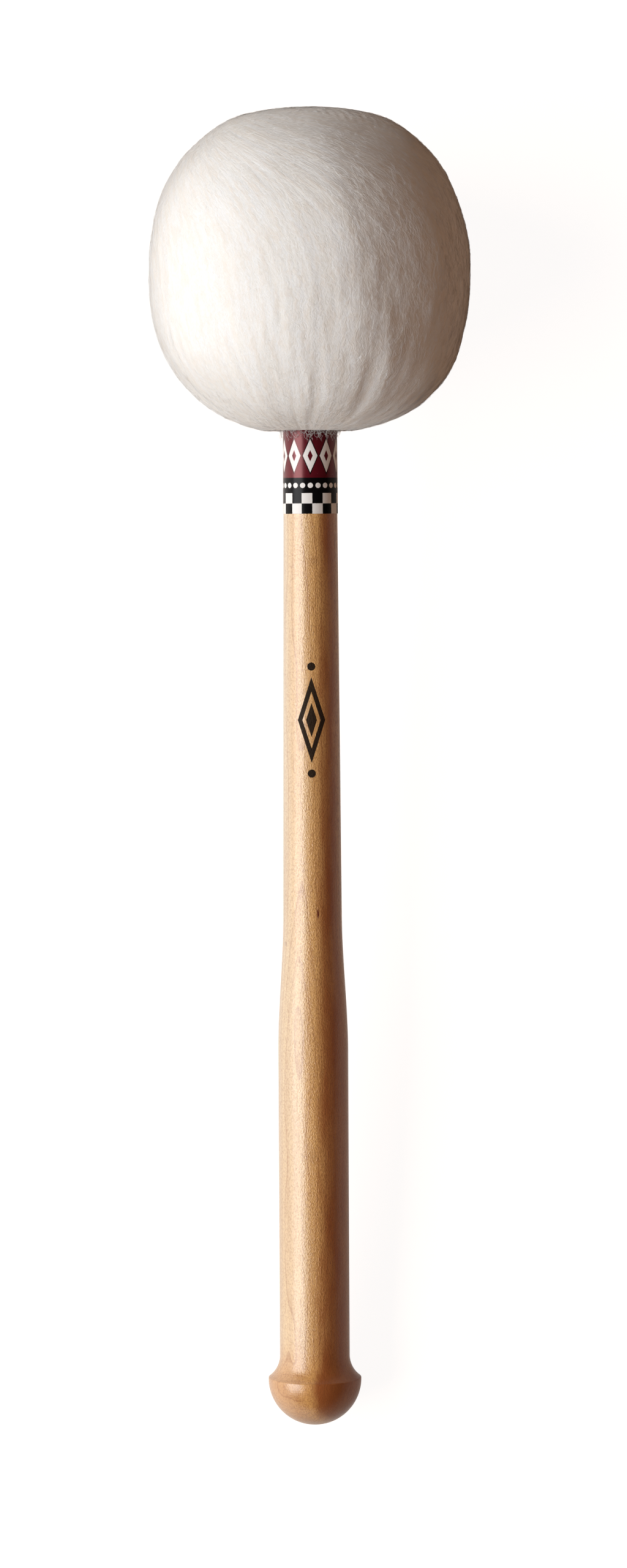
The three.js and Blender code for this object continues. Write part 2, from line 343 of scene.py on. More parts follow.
def maple():
    m = Finish("lacquered maple")
    place = m.place()
    sideways_by, forwards_by, level = m.apart(place)
    grain = {name: m.noise(place, *numbers) for name, numbers in PATTERNS.items()}
    grain["rings"] = growth_rings(m, place, grain["wave"])
    end = m.ramp(level, *END_GRAIN_LEVELS)
    tone = m.blend(m.ramp(grain["board"], 0.32, 0.68), MAPLE_PALE, MAPLE_DEEP)
    # Painted highlight: paler on the left, where the light falls.
    grown = m.ramp(level, *LIT_SIDE_GROWS)
    paler_share = m.math("MULTIPLY_ADD", grown, LIT_SIDE_GROWTH, LIT_SIDE_SHARE)
    tone = m.blend(m.times(m.ramp(sideways_by, *LIT_SIDE_FROM), paler_share), tone, LIT_SIDE_PALE)
    tone = m.blend(m.times(end, END_SHARE), tone, MAPLE_END)
    # Painted shade on the front right, away from the soft box.
    front = m.ramp(forwards_by, *SHADE_FADES)
    tone = paint_shaded_side(m, tone, place, grain["patches"], front, end)
    for name, low, high, dark in DARK_LINES:
        tone = m.blend(m.times(m.ramp(grain[name], low, high), dark), tone, MAPLE_LINE)
    tone = m.blend(ray_flecks(m, place, grain["flecks"]), tone, MAPLE_LINE)
    for spot in MINERAL_MARKS:
        tone = m.blend(mark(m, place, grain["pores"], *spot), tone, MINERAL)
    print_here = emblem(m, place)
    relief = m.math("MULTIPLY_ADD", grain["vessels"], VESSEL_DEPTH, grain["pores"])
    relief = m.times(relief, m.math("MULTIPLY_ADD", end, -END_SMOOTHER, 1.0))
    bare = m.math("SUBTRACT", 1.0, print_here)
    glossy = m.times(bare, m.math("MULTIPLY_ADD", end, -END_DULLER, 1.0))
    m.set(coat_weight=m.times(glossy, LACQUER_COAT), coat_roughness=0.22, coat_ior=1.6)
    m.set(coat_normal=m.bump(relief, LACQUER_DEPTH), specular=m.times(glossy, LACQUER_GLOSS))
    rough = m.math("MULTIPLY_ADD", grain["board"], 0.1, 0.24)
    tone = m.blend(print_here, tone, INK)
    return m.set(colour=tone, roughness=rough, normal=m.bump(relief, GRAIN_DEPTH))


def growth_rings(m, place, wave):
    """A share that grows from 0 to 1 across each ring."""
    level_with = m.vector("MULTIPLY", m.vector("ADD", place, HEART)[0], (1, 1, 0))[0]
    from_heart = m.vector("LENGTH", level_with)["Value"]
    waved = m.math("MULTIPLY_ADD", wave, RING_WAVE, from_heart)
    return m.math("FRACT", m.math("DIVIDE", waved, RING_SPACING))


def paint_shaded_side(m, tone, place, patches, front, end):
    """Painted shade at the front right: amber at the light's edge, dark red beyond, ragged edged."""
    reach = m.vector("DOT_PRODUCT", place, SHADE_WAY)["Value"]
    ragged = m.math("MULTIPLY_ADD", m.math("SUBTRACT", patches, 0.5), SHADE_RAGGED, reach)
    shade_mask = m.times(m.ramp(ragged, *SHADE_REACH), front)
    mottle = m.math("MULTIPLY_ADD", m.ramp(patches, 0.3, 0.7), 1 - SHADE_LEAST, SHADE_LEAST)
    tone = m.blend(m.times(m.ramp(ragged, *SHADE_EDGE_REACH), front, SHADE_EDGE_SHARE), tone, SHADE_EDGE_AMBER)
    tone = m.blend(m.times(shade_mask, mottle, SHADE_SHARE), tone, SHADE_RED)
    # Painted shade: the pommel's shaded side is darkened further.
    return m.blend(m.times(shade_mask, end, POMMEL_SHADE_SHARE), tone, MAPLE_LINE)


def mark(m, place, rough_edge, x, level, half_width, half_length, dark):
    """A small soft spot on the side that faces the camera."""
    where = m.apart(place)
    across = m.math("DIVIDE", m.math("SUBTRACT", where[0], x * MM), half_width * MM)
    up = m.math("DIVIDE", m.math("SUBTRACT", where[2], level * MM), half_length * MM)
    ragged = m.math("MULTIPLY_ADD", rough_edge, MARK_RAGGED, m.distance(across, up))
    front = m.math("LESS_THAN", where[1], 0.0)
    return m.times(m.ramp(ragged, *MARK_EDGE), front, dark)


# Rays run out from the tree's heart. Where the handle's surface crosses them they show as short
# dark flecks, here on the flank that faces away from the heart's side.
RAY_FLANK = (7.4 * MM, -3.4 * MM)
RAY_FLANK_WIDTH = 3.5 * MM
RAY_SHARE = 0.8


def ray_flecks(m, place, flecks):
    where = m.apart(place)
    across, over = (m.math("SUBTRACT", where[i], RAY_FLANK[i]) for i in range(2))
    band = m.ramp(m.distance(across, over), RAY_FLANK_WIDTH, 0.0)
    return m.times(m.ramp(flecks, 0.56, 0.64), band, RAY_SHARE)


# %% [markdown]
# ## The printed ornament on the shaft
#
# The shaft carries a slim black print that reads along the handle. Here it is a plain ornament:
# a long lozenge with a small one inside it, and a dot off each end. A lozenge is where the sum of
# two distances, each as a share of the lozenge's half size, is less than one, so two divisions
# and an addition draw it.

# %% Ornament
INK = (0.012, 0.01, 0.01, 1)
EMBLEM_LEVEL = 219.8 * MM
EMBLEM_HALF_WIDTH = 4.2 * MM
EMBLEM_HALF_LENGTH = 13.2 * MM
EMBLEM_LINE_SHARE = 0.34
EMBLEM_HEART_SHARE = 0.4
EMBLEM_DOT_AWAY = 16.4 * MM
EMBLEM_DOT_RADIUS = 1.25 * MM
INK_COVERS = 0.97


def emblem(m, place):
    where = m.apart(place)
    across = m.math("ABSOLUTE", where[0])
    up = m.math("ABSOLUTE", m.math("SUBTRACT", where[2], EMBLEM_LEVEL))
    across_share = m.math("DIVIDE", across, EMBLEM_HALF_WIDTH)
    lozenge = m.math("ADD", across_share, m.math("DIVIDE", up, EMBLEM_HALF_LENGTH))
    half_line = EMBLEM_LINE_SHARE / 2
    line = m.math("COMPARE", lozenge, 1 - half_line, half_line)
    heart = m.math("LESS_THAN", lozenge, EMBLEM_HEART_SHARE)
    from_dot = m.distance(across, m.math("SUBTRACT", up, EMBLEM_DOT_AWAY))
    dot = m.math("LESS_THAN", from_dot, EMBLEM_DOT_RADIUS)
    front = m.math("LESS_THAN", where[1], 0.0)
    inked = m.math("MAXIMUM", m.math("MAXIMUM", line, heart), dot)
    return m.times(inked, front, INK_COVERS)


lacquered_maple = maple()

# %% [markdown]
# ## The handle
#
# The handle is one piece, turned from a single square of maple: a ball shaped pommel, a narrow
# rim, a hollow cove, a nearly straight grip, a long taper and the shaft, which runs on inside the
# head and ends in a tenon. One outline holds all of it. The cove and the pommel are true arcs,
# and the taper is an S made with a smooth step.

# %% Handle
POMMEL_RADIUS = 14.4 * MM
POMMEL_LEVEL = 15.1 * MM
RIM_WIDTH = 0.15 * MM
RIM_EDGE = 0.5 * MM
COVE_RADIUS = 8.5 * MM
GRIP_RADIUS = 10.82 * MM
GRIP_TOP_RADIUS = 10.8 * MM
GRIP_LENGTH = 94.5 * MM
TAPER_LENGTH = 43 * MM
SHAFT_RADIUS = 9.05 * MM
NECK_RADIUS = 8.15 * MM
LIP_LEVEL = 307.6 * MM
SHOULDER_LEVEL = 331.7 * MM
TENON_RADIUS = 6.35 * MM
TENON_TOP = 363.2 * MM
TENON_CHAMFER = 0.8 * MM
SCREW_BORE = 2.4 * MM
SCREW_BORE_BOTTOM = 346 * MM
HANDLE_STEPS = 144

rim_top = POMMEL_LEVEL + RIM_WIDTH
rim_centre = POMMEL_RADIUS - RIM_EDGE
cove_centre = GRIP_RADIUS + COVE_RADIUS
between_centres = COVE_RADIUS + RIM_EDGE
cove_turn = math.acos((cove_centre - rim_centre) / between_centres)
cove_top = rim_top + between_centres * math.sin(cove_turn)
rim_bend = math.degrees(cove_turn)
grip_top = cove_top + GRIP_LENGTH
shaft_bottom = grip_top + TAPER_LENGTH


def shaft_radius(level):
    share = (level - shaft_bottom) / (LIP_LEVEL - shaft_bottom)
    return SHAFT_RADIUS + (NECK_RADIUS - SHAFT_RADIUS) * share


def handle_outline():
    taper = np.linspace(grip_top, shaft_bottom, 33)
    narrowed = smooth(taper, grip_top, shaft_bottom)
    shaft = np.linspace(shaft_bottom, LIP_LEVEL, 41)[1:]
    grip = np.linspace(cove_top, grip_top, 25)[1:-1]
    swell = (grip - cove_top) / GRIP_LENGTH
    return [
        *arc(0, POMMEL_LEVEL, POMMEL_RADIUS, -90, 0, 40),
        *arc(rim_centre, rim_top, RIM_EDGE, 0, rim_bend, 6),
        *arc(cove_centre, cove_top, COVE_RADIUS, 180 + rim_bend, 180, 24)[1:],
        *zip(GRIP_RADIUS + (GRIP_TOP_RADIUS - GRIP_RADIUS) * swell, grip),
        *zip(GRIP_TOP_RADIUS + (SHAFT_RADIUS - GRIP_TOP_RADIUS) * narrowed, taper),
        *[(shaft_radius(level), level) for level in shaft],
        (NECK_RADIUS, SHOULDER_LEVEL),
        (TENON_RADIUS, SHOULDER_LEVEL),
        (TENON_RADIUS, TENON_TOP - TENON_CHAMFER),
        (TENON_RADIUS - TENON_CHAMFER, TENON_TOP),
        (SCREW_BORE, TENON_TOP),
        (SCREW_BORE, SCREW_BORE_BOTTOM),
        (0, SCREW_BORE_BOTTOM),
    ]


handle_mesh = spun(handle_outline(), HANDLE_STEPS)
handle = lay_down("turned_handle", handle_mesh, lacquered_maple)
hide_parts("handle")

# %% [markdown]
# ## The label's print
#
# A film sleeve is shrunk onto the shaft below the head. From the top it has a dark red field with
# a row of white lozenges, a black strip with a row of white dots, and two rows of checks. The
# print is drawn in the upright mallet's directions: the arc tangent of the sideways and forward
# places gives the turn round the shaft, and the level gives the height, so the print needs no
# image and meets itself behind without a break.

# %% Printed film
CHECKS_ROUND = 16
CHECK_EDGE_TURN = 4 / 360
LABEL_BOTTOM = 282.9 * MM
CHECK_ROWS_TOP = 289.2 * MM
BLACK_STRIP_TOP = 293.9 * MM
LABEL_TOP = 308.6 * MM
LOZENGES_ROUND = 10
LOZENGE_LEVEL = 300.6 * MM
LOZENGE_HALF_HEIGHT = 5.2 * MM
LOZENGE_HALF_SHARE = 0.44
DOTS_ROUND = 22
DOT_RADIUS = 0.8 * MM
FILM_RED = (0.1, 0.0055, 0.012, 1)
FILM_RED_GLOSS = (1, 0.5, 0.5, 1)
FILM_BLACK = (0.004, 0.0035, 0.004, 1)
FILM_WHITE = (0.86, 0.84, 0.82, 1)
LOZENGE_RINGS = [
    # how far out each colour goes, as a share of the lozenge's size, from the outside in
    (1.12, FILM_BLACK),
    (0.98, FILM_WHITE),
    (0.34, FILM_RED),
]
RED_SHINE = 0.7
BLACK_SHINE = 0.15
RUB_SCALE = (900, 900, 500)
CREASE_SCALE = (240, 240, 90)
CREASE_DEPTH = 0.03 * MM


def printed_film():
    m = Finish("printed film")
    place = m.place()
    sideways_by, forwards_by, level = m.apart(place)
    turn = m.math("ARCTAN2", sideways_by, m.times(forwards_by, -1.0))
    turn = m.math("DIVIDE", turn, math.tau)
    red_field = m.math("GREATER_THAN", level, BLACK_STRIP_TOP)
    above_checks = m.math("GREATER_THAN", level, CHECK_ROWS_TOP)
    colour = m.blend(above_checks, rows_of_checks(m, turn, level), strip_of_dots(m, turn, level))
    colour = m.blend(red_field, colour, field_of_lozenges(m, turn, level))
    rough = m.math("MULTIPLY_ADD", m.noise(place, RUB_SCALE, 4.0), 0.1, 0.2)
    normal = m.bump(m.noise(place, CREASE_SCALE, 2.0), CREASE_DEPTH, 0.3)
    shine = m.math("MULTIPLY_ADD", red_field, RED_SHINE, BLACK_SHINE)
    m.set(specular=shine, specular_tint=m.blend(red_field, WHITE, FILM_RED_GLOSS))
    return m.set(colour=colour, roughness=rough, normal=normal)


def from_nearest(m, turn, count):
    """How far round, as a share of one repeat, a place is from the nearest of so many."""
    share = m.math("FRACT", m.math("MULTIPLY_ADD", turn, count, 0.5 + count))
    return m.math("ABSOLUTE", m.math("SUBTRACT", share, 0.5))


def rows_of_checks(m, turn, level):
    row_height = (CHECK_ROWS_TOP - LABEL_BOTTOM) / 2
    column = m.times(m.math("SUBTRACT", turn, CHECK_EDGE_TURN), CHECKS_ROUND)
    row = m.math("DIVIDE", m.math("SUBTRACT", level, LABEL_BOTTOM), row_height)
    squares = m.math("ADD", m.math("FLOOR", column), m.math("FLOOR", row))
    dark = m.math("FLOORED_MODULO", squares, 2.0)
    return m.blend(m.math("GREATER_THAN", dark, 0.5), FILM_WHITE, FILM_BLACK)


def strip_of_dots(m, turn, level):
    middle_level = (CHECK_ROWS_TOP + BLACK_STRIP_TOP) / 2
    repeat = math.tau * NECK_RADIUS / DOTS_ROUND
    across = m.times(from_nearest(m, turn, DOTS_ROUND), repeat)
    away = m.distance(across, m.math("SUBTRACT", level, middle_level))
    return m.blend(m.math("LESS_THAN", away, DOT_RADIUS), FILM_BLACK, FILM_WHITE)


def field_of_lozenges(m, turn, level):
    across = m.math("DIVIDE", from_nearest(m, turn, LOZENGES_ROUND), LOZENGE_HALF_SHARE)
    off_middle = m.math("ABSOLUTE", m.math("SUBTRACT", level, LOZENGE_LEVEL))
    lozenge = m.math("ADD", across, m.math("DIVIDE", off_middle, LOZENGE_HALF_HEIGHT))
    colour = FILM_RED
    for share, inside in LOZENGE_RINGS:
        colour = m.blend(m.math("LESS_THAN", lozenge, share), colour, inside)
    return colour


film = printed_film()

# %% [markdown]
# ## The label
#
# The film is an eighth of a millimetre thick, so it looks flush with the wood, but its edge still
# catches light. A thin wall could be made by a Solidify modifier. Here the outline of the wall is
# spun as a closed loop, because then the bevel of its lower edge is part of the outline.

# %% Label
LABEL_GAP = 0.03 * MM
LABEL_THICKNESS = 0.13 * MM
LABEL_STEPS = 144


def label_outline():
    edge = LABEL_THICKNESS / 2
    levels = np.linspace(LABEL_BOTTOM, LABEL_TOP, 13)
    inside = [(shaft_radius(level) + LABEL_GAP, level) for level in levels]
    outside = [(radius + LABEL_THICKNESS, level) for radius, level in inside]
    outside[0] = (outside[0][0], LABEL_BOTTOM + edge)
    lower_edge = (inside[0][0] + edge, LABEL_BOTTOM)
    return [*inside[::-1], lower_edge, *outside, inside[-1]]


label = lay_down("label_sleeve_film", spun(label_outline(), LABEL_STEPS), film)
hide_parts("label_sleeve")

# %% [markdown]
# ## Brushed wool
#
# Wool looks soft because light enters the fibres and comes out again beside where it went in, and
# because the fibres that stand at the edge catch light. So the finish has a strong sheen and
# hardly any gloss. The skin carries fine short strands along the way the wool was brushed: two
# layers of noise that cross at a small angle, on a UV map whose U stays the same along a brushed
# line and whose V is the way up the skin. Waves in the map keep the strands from running straight.

# %% Wool finishes
WOOL_PALE = (0.94, 0.947, 0.955, 1)
WOOL_WARM = (0.935, 0.92, 0.89, 1)
WOOL_DEEP = (0.84, 0.8, 0.71, 1)
WOOL_ROSE = (0.9, 0.83, 0.76, 1)
STRAND_CROSSING = math.radians(19)
LEFT_STRANDS = (2900, 700, 1)
RIGHT_STRANDS = (3400, 800, 1)
CLUMPS = (230, 50, 1)
DRIFTS = (600, 150, 1)
DRIFT_RELIEF = 1.6
STRAND_DEPTH = 0.22 * MM
WANDER_SCALE = 420.0
WANDER = 1.6 * MM
SKIN_SHEEN = 1.0
FIBRE_SHEEN = 0.5
SKIN_SHARE = 0.5


def soft_fibre(m, sheen):
    m.set(sheen_weight=sheen, sheen_roughness=0.4, sheen_tint=(1, 0.96, 0.9, 1), specular=0.1)


def strand_layer(m, brushed_map, turn, scale):
    """Short strands that cross the brushed lines at a small angle."""
    turned = m.add("Mapping", {"Vector": brushed_map, "Rotation": (0, 0, turn)}).outputs[0]
    return m.noise(turned, scale, 3.0, 0.6)


def wool_skin():
    m = Finish("wool skin")
    brushed_map = m.add("UVMap", uv_map="brushed").outputs[0]
    wander = m.add("TexNoise", {"Vector": brushed_map, "Scale": WANDER_SCALE, "Detail": 2.0})
    shift = m.vector("MULTIPLY", wander.outputs["Color"], (WANDER,) * 3)[0]
    waved = m.vector("ADD", brushed_map, shift)[0]
    clumps = m.noise(waved, CLUMPS, 3.0, 0.6)
    drifts = m.noise(waved, DRIFTS, 3.0, 0.6)
    left = strand_layer(m, waved, STRAND_CROSSING, LEFT_STRANDS)
    right = strand_layer(m, waved, -STRAND_CROSSING, RIGHT_STRANDS)
    strands = m.math("MAXIMUM", left, right)
    tone = m.blend(m.ramp(clumps, 0.35, 0.7), WOOL_PALE, WOOL_WARM)
    tone = m.blend(m.times(m.ramp(drifts, 0.42, 0.66), 0.55), tone, WOOL_ROSE)
    tone = m.blend(m.times(m.ramp(strands, 0.66, 0.42), 0.36), tone, WOOL_DEEP)
    relief = m.math("MULTIPLY_ADD", drifts, DRIFT_RELIEF, strands)
    soft_fibre(m, SKIN_SHEEN)
    return m.set(colour=tone, roughness=0.95, normal=m.bump(relief, STRAND_DEPTH, 0.5))


def wool_fibre():
    m = Finish("wool fibre")
    surface = m.add("NewGeometry").outputs
    drift = m.noise(m.place(), (160, 160, 160), 2.0)
    tone = m.blend(m.ramp(surface["Random Per Island"], 0.3, 1.0), WOOL_PALE, WOOL_WARM)
    tone = m.blend(m.times(m.ramp(drift, 0.45, 0.8), 0.4), tone, WOOL_WARM)
    skin_normal = m.add("Attribute", attribute_name="skin_normal").outputs["Vector"]
    soft_fibre(m, FIBRE_SHEEN)
    normal = m.between(SKIN_SHARE, surface["Normal"], skin_normal)
    return m.set(colour=tone, roughness=0.9, normal=normal)


skin_finish = wool_skin()
fibre_finish = wool_fibre()

# %% [markdown]
# ## The wool cover
#
# The cover is one skin drawn over the felt and gathered at the neck, so it is smooth at the crown
# and folds more and more towards the shaft. It could be simulated as cloth, but the folds of a
# gathered sock come out finer than cloth points would be. So its outline is spun closely, with
# the crown a little flattened, and then every point is moved: in at the folds, in and out for the
# wool's slow lumps and its locks, and up where the table presses it flat. The fibres lie on it,
# so the skin is a nap's height smaller.

# %% Outline of the cover
HEAD_RADIUS = 49.4 * MM
HEAD_LENGTH = 100.9 * MM
CROWN_LENGTH = 52.1 * MM
CROWN_SQUARENESS = 2.23
LOWER_SQUARENESS = 2.4
WOOL_THICKNESS = 12 * MM
NAP = 0.3 * MM
HEM_RADIUS = 10.2 * MM
HEM_RISE = 1.2 * MM
MOUTH_RISE = 0.8 * MM
RECESS_RADIUS = 11.6 * MM
RECESS_TOP = 313.6 * MM
LIP_WIDTH = 2.4 * MM
NECK_BORE = 8.45 * MM
COVER_STEPS = 288
FLAT_CROWN = 1.4 * MM
FLAT_CROWN_RADII = (7 * MM, 27 * MM)

widest = LIP_LEVEL + HEAD_LENGTH - CROWN_LENGTH
lower_length = HEAD_LENGTH - CROWN_LENGTH
quarter = math.pi / 2


def turn_at(radius, widest_radius):
    return math.acos((radius / widest_radius) ** (LOWER_SQUARENESS / 2))


def cover_outside():
    radius = HEAD_RADIUS - NAP
    lip = turn_at(RECESS_RADIUS + LIP_WIDTH, radius)
    crown = bulge(widest, radius, CROWN_LENGTH - NAP, CROWN_SQUARENESS, 0, quarter, 64)[1:]
    return [
        *bulge(widest, radius, -lower_length, LOWER_SQUARENESS, lip, 0, 74),
        *[(out, up - FLAT_CROWN * (1 - smooth(out, *FLAT_CROWN_RADII))) for out, up in crown],
    ]


def cover_outline():
    cavity = HEAD_RADIUS - WOOL_THICKNESS
    neck = turn_at(NECK_BORE, cavity)
    cavity_crown = CROWN_LENGTH - WOOL_THICKNESS
    cavity_lower = lower_length - WOOL_THICKNESS
    return [
        *bulge(widest, cavity, cavity_crown, CROWN_SQUARENESS, quarter, 0, 12),
        *bulge(widest, cavity, -cavity_lower, LOWER_SQUARENESS, 0, neck, 12)[1:],
        (NECK_BORE, LIP_LEVEL + HEM_RISE),
        (HEM_RADIUS, LIP_LEVEL + HEM_RISE),
        (HEM_RADIUS, RECESS_TOP),
        (RECESS_RADIUS, RECESS_TOP),
        (RECESS_RADIUS, LIP_LEVEL + HEM_RISE),
        (RECESS_RADIUS + LIP_WIDTH / 5, LIP_LEVEL + MOUTH_RISE * 1.2),
        (RECESS_RADIUS + LIP_WIDTH / 2, LIP_LEVEL + MOUTH_RISE),
        *cover_outside(),
    ]


# %% [markdown]
# ### Brushed lines
#
# The wool was brushed round the crown, so there the fibres lie sideways, and across the shoulders
# they turn down until they run straight to the neck. The angle between the fibres and the
# straight way down only depends on the level. Followed down the skin it gives how far round a
# brushed line gets, and the turn less that amount is the same all along one line.

# %% Brushed lines
CROWN_SWEEP = math.radians(66)
SWEEP_BOTTOM = 0.3
MAP_RADIUS = 0.8 * HEAD_RADIUS


def sweep_at(level):
    height = (level - LIP_LEVEL) / HEAD_LENGTH
    return CROWN_SWEEP * smooth(height, SWEEP_BOTTOM, 1.0)


skin_radii, skin_levels = np.array(cover_outside()[:-1]).T
steps_down = np.hypot(np.diff(skin_radii), np.diff(skin_levels))
skin_lengths = np.concatenate([[0], np.cumsum(steps_down)])
steps_round = np.tan(sweep_at(skin_levels[1:])) / skin_radii[1:] * steps_down
skin_rounding = np.concatenate([[0], np.cumsum(steps_round)])


def rounding_at(level):
    """How far round, in radians, a brushed line has come since the neck."""
    return np.interp(level, skin_levels, skin_rounding)


def map_brushed_lines(bm):
    layer = bm.loops.layers.uv.new("brushed")
    for face in bm.faces:
        centre = face.calc_center_median()
        middle_turn = math.atan2(centre.x, -centre.y)
        for loop in face.loops:
            x, y, level = loop.vert.co
            turn = math.atan2(x, -y) if math.hypot(x, y) > SEAM else middle_turn
            turn += math.tau * round((middle_turn - turn) / math.tau)
            line = (turn + rounding_at(level)) * MAP_RADIUS
            loop[layer].uv = (line, np.interp(level, skin_levels, skin_lengths))


# %% [markdown]
# ### Folds
#
# Each gather is a narrow valley with a low ridge at each side. It starts at the neck and runs out
# up the side. The folds that face the camera follow the photographed mallet, and the rest carry on
# in the same manner round the back. A long soft ridge slants over the front, the right side is a
# little fuller low down, and locks of wool follow the brushed lines. Ridge and locks fade out at
# the middle of the crown, where the brushed lines meet.

# %% Folds of the cover
FOLDS = [
    # turn from the front in degrees, depth in millimetres, half width in degrees, and the
    # reach up the side, where 1 is the widest ring
    (0.5, 0.28, 3.0, 0.74), (13, 0.06, 3.2, 0.4), (27, 0.5, 3.6, 1.1), (40, 0.12, 3.2, 0.42),
    (47, 0.4, 3.0, 0.5), (55, 0.4, 2.6, 0.44), (75, 0.4, 4.0, 0.5), (97, 0.7, 4.0, 0.66),
    (121, 0.4, 3.6, 0.5), (143, 0.75, 4.0, 0.7), (167, 0.5, 3.4, 0.52), (-17, 0.06, 4.2, 0.4),
    (-34, 0.1, 4.2, 0.46), (-53, 0.15, 4.0, 0.5), (-76, 0.4, 4.0, 0.52), (-101, 0.7, 4.2, 0.66),
    (-126, 0.4, 3.6, 0.5), (-149, 0.7, 4.0, 0.62), (-171, 0.4, 3.4, 0.5),
]
FOLD_OPENING = 20 * MM
RIDGE_SHARE = 0.42
RIDGE_AWAY = 2.1
RIDGE_WIDTH = 1.2
FOLD_WANDER = 2.4
WANDER_WAVES = 3.1
WANDER_SHIFT = 1.7
LUMP = 0.45 * MM
LUMP_SIZE = 17 * MM
LOCK = 0.18 * MM
LOCK_WIDTH = 2.2 * MM
LOCK_LENGTH = 14 * MM
SMOOTH_POLE = 8 * MM
FULLER_RIGHT = 0.9 * MM
TABLE_CLEARANCE = 0.05 * MM
SHOULDER = 0.8 * MM
SHOULDER_WIDTH = 10
SHOULDER_TURNS = (9, 23)
SHOULDER_LEVELS = (28 * MM, -16 * MM)
lip_edge = RECESS_RADIUS + LIP_WIDTH


def turns_of(places):
    return np.degrees(np.arctan2(places[:, 0], -places[:, 1]))


def fold_depths(places, radii):
    """How far in the skin is drawn at each place, in metres."""
    turns = turns_of(places)
    down = (widest - places[:, 2]) / lower_length
    total = np.zeros(len(places))
    for i, (centre, depth, half_width, reach) in enumerate(FOLDS):
        sway = FOLD_WANDER * np.sin(WANDER_WAVES * down + WANDER_SHIFT * i)
        away = (turns - centre - sway + 180) % 360 - 180
        widening = half_width * (0.8 + 0.7 * (1 - np.clip(down, 0, 1)))
        valley = np.exp(-((away / widening) ** 2))
        off_ridge = np.abs(away) - RIDGE_AWAY * widening
        ridge = np.exp(-((off_ridge / (RIDGE_WIDTH * widening)) ** 2))
        fade = smooth(down, 1 - reach, 1 - reach / 4)
        total += depth * MM * fade * (valley - RIDGE_SHARE * ridge)
    return total * smooth(radii, lip_edge, lip_edge + FOLD_OPENING)


def shoulder(places):
    """A long soft ridge that slants over the front, where the brushed wool turns down."""
    above = places[:, 2] - widest
    share = (above - SHOULDER_LEVELS[0]) / (SHOULDER_LEVELS[1] - SHOULDER_LEVELS[0])
    centre = SHOULDER_TURNS[0] + (SHOULDER_TURNS[1] - SHOULDER_TURNS[0]) * share
    away = (turns_of(places) - centre) / SHOULDER_WIDTH
    fade = smooth(share, -0.5, 0.2) * smooth(share, 1.7, 1.1)
    return SHOULDER * np.exp(-(away**2)) * fade


def locks(places):
    """The relief of soft locks that follow the brushed lines."""
    lines = np.radians(turns_of(places)) + rounding_at(places[:, 2])
    across = lines * MAP_RADIUS / LOCK_WIDTH
    along_it = places[:, 2] / LOCK_LENGTH
    return [noise.noise((u, v, 0)) * LOCK for u, v in zip(across, along_it)]


def shape_cover(bm):
    bm.normal_update()
    bm.verts.ensure_lookup_table()
    places = np.array([vert.co[:] for vert in bm.verts])
    radii = np.hypot(places[:, 0], places[:, 1])
    height = np.where(places[:, 2] > widest, CROWN_LENGTH, lower_length)
    reach = (radii / HEAD_RADIUS) ** 2 + ((places[:, 2] - widest) / height) ** 2
    outside = (reach > (1 - WOOL_THICKNESS / HEAD_RADIUS / 2) ** 2) & (radii > lip_edge - NAP)
    depths = fold_depths(places, radii)
    fuller = FULLER_RIGHT * smooth((widest - places[:, 2]) / lower_length, 0.35, 0.7)
    fuller *= smooth(radii, lip_edge, lip_edge + FOLD_OPENING)
    relief = (locks(places) + shoulder(places)) * smooth(radii, 0, SMOOTH_POLE)
    for i in np.flatnonzero(outside | (radii < SEAM) & (places[:, 2] > widest)):
        vert = bm.verts[i]
        lump = noise.noise(vert.co / LUMP_SIZE) * LUMP
        vert.co += vert.normal * (lump + relief[i] - depths[i])
        vert.co.x += fuller[i]


def press_flat(bm):
    """Lifts what would be below the table, given in the laid mallet's height."""
    for vert in bm.verts:
        world = laid @ vert.co
        if world.z < TABLE_CLEARANCE:
            world.z = TABLE_CLEARANCE
            vert.co = upright @ world


# %% [markdown]
# ### The finished cover
#
# The map is made first, while every ring of the skin is still level, and the shape comes after.

# %% Cover
cover_mesh = spun(cover_outline(), COVER_STEPS)
map_brushed_lines(cover_mesh)
shape_cover(cover_mesh)
press_flat(cover_mesh)
cover = lay_down("wool_cover_skin", cover_mesh, skin_finish, sharp=80)
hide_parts("wool_cover")

# %% [markdown]
# ## The fibres
#
# A hair system could be used for the pile, but its hairs are not a mesh. Here each fibre is a
# short spline that steps along the skin in the brushed direction, rises a little in the middle and
# dips at the ends. Three flat sides are enough for something a twentieth of a millimetre thick.
# The finest ones belong to the finish of the skin: these are the ones that stand clear of it.

# %% Brushed direction
FIBRES = 30000
FIBRES_IN_A_PIECE = 6000
FIBRE_STEPS = 5
FIBRE_RADIUS = 0.026 * MM
FIBRE_LENGTH = (1.6 * MM, 6 * MM)
FIBRE_RISE = (0.02 * MM, 0.3 * MM)
FIBRE_DIP = 0.08 * MM
BRUSH_SCATTER = math.radians(20)
CURL = math.radians(24)

rng = np.random.default_rng(11)


def brushed(spot, normal):
    """The way that the wool lies at a place, along the skin."""
    across = along.cross(normal)
    if across.length < 0.01:
        return sideways
    across.normalize()
    sweep = sweep_at((upright @ spot).z)
    return normal.cross(across) * -math.cos(sweep) + across * math.sin(sweep)


# %% [markdown]
# ### Where fibres start
#
# Fibres have to be as dense on a large face as on a small one, so faces are drawn at random by
# their area, and then a point at random on the face. The random numbers have a seed, so the same
# fibres grow each time.

